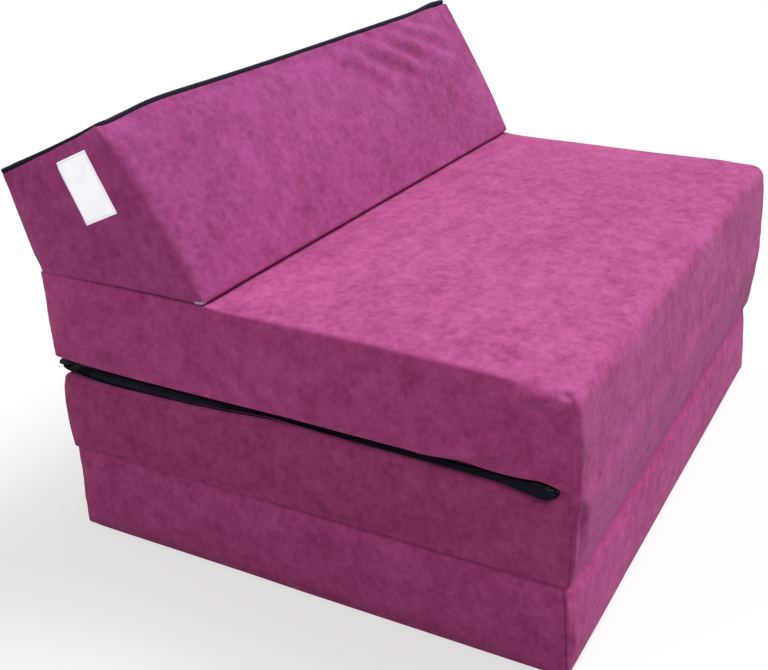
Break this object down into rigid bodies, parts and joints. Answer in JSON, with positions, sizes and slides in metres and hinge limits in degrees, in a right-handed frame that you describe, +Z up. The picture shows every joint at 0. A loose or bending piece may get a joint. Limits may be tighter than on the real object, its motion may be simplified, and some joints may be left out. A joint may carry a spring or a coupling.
{
  "type": "folding chair bed",
  "caption": "Foam chair bed: equal covered blocks folded in a Z as a seat, with a wedge backrest hinged at its back edge, all with zipped covers.",
  "frame": {"origin": "centre of the underside of the base block, on the floor", "axes": "+Z up, +X across the width to the sitter's left, -Y towards the seat's front; the backrest rises at +Y"},
  "size_m": [0.7, 0.6502, 0.5091],
  "materials": {
    "suede_cover": "napped suede-like polyester velour, magenta",
    "foam": "open-cell polyurethane foam",
    "zip_tape": "black woven tape",
    "zip_coil": "black nylon coil",
    "zip_slider": "black lacquered zinc",
    "label": "plain white woven tape"
  },
  "bodies": {
    "base": {"base_foam": "foam", "base_cover": "suede_cover", "base_zip_tapes": "zip_tape", "base_zip_coils": "zip_coil", "base_zip_stops": "zip_coil", "rear_fold_welt": "suede_cover"},
    "middle": {"middle_foam": "foam", "middle_cover": "suede_cover", "middle_zip_tapes": "zip_tape", "middle_zip_coils": "zip_coil", "middle_zip_stops": "zip_coil", "front_fold_welt": "suede_cover"},
    "seat": {"seat_foam": "foam", "seat_cover": "suede_cover", "seat_zip_tapes": "zip_tape", "seat_zip_coils": "zip_coil", "seat_zip_stops": "zip_coil", "backrest_fold_welt": "suede_cover"},
    "backrest": {"backrest_foam": "foam", "backrest_cover": "suede_cover", "backrest_zip_tapes": "zip_tape", "backrest_zip_coils": "zip_coil", "backrest_zip_stops": "zip_coil", "care_label": "label"},
    "base_slider": {"base_zip_slider": "zip_slider", "base_zip_pull": "zip_slider"},
    "middle_slider": {"middle_zip_slider": "zip_slider", "middle_zip_pull": "zip_slider"},
    "seat_slider": {"seat_zip_slider": "zip_slider", "seat_zip_pull": "zip_slider"},
    "backrest_slider": {"backrest_zip_slider": "zip_slider"},
    "backrest_pull": {"backrest_zip_pull": "zip_slider"}
  },
  "joints": [
    {"name": "middle_unfold", "type": "hinge", "parent": "base", "child": "middle", "pos_m": [0, 0.3053, 0.10785], "axis": [-1, 0, 0], "range_deg": [0, 180]},
    {"name": "seat_unfold", "type": "hinge", "parent": "middle", "child": "seat", "pos_m": [0, -0.3143, 0.21585], "axis": [1, 0, 0], "range_deg": [0, 180]},
    {"name": "backrest_recline", "type": "hinge", "parent": "seat", "child": "backrest", "pos_m": [0, 0.3053, 0.32385], "axis": [-1, 0, 0], "range_deg": [0, 150.8]},
    {"name": "base_zip_run", "type": "slide", "parent": "base", "child": "base_slider", "axis": [0, 1, 0], "range_m": [0, 0.55]},
    {"name": "middle_zip_run", "type": "slide", "parent": "middle", "child": "middle_slider", "axis": [0, 1, 0], "range_m": [0, 0.563]},
    {"name": "seat_zip_run", "type": "slide", "parent": "seat", "child": "seat_slider", "axis": [0, 1, 0], "range_m": [0, 0.567]},
    {"name": "backrest_zip_run", "type": "slide", "parent": "backrest", "child": "backrest_slider", "axis": [0, -0.8729, 0.4879], "range_m": [0, 0.123]},
    {"name": "backrest_pull_swing", "type": "hinge", "parent": "backrest_slider", "child": "backrest_pull", "pos_m": [0.337, 0.30954, 0.44272], "axis": [-1, 0, 0], "range_deg": [0, 160]}
  ],
  "couplings": [
    {"joint": "seat_unfold", "follows": "middle_unfold", "ratio": 1}
  ]
}
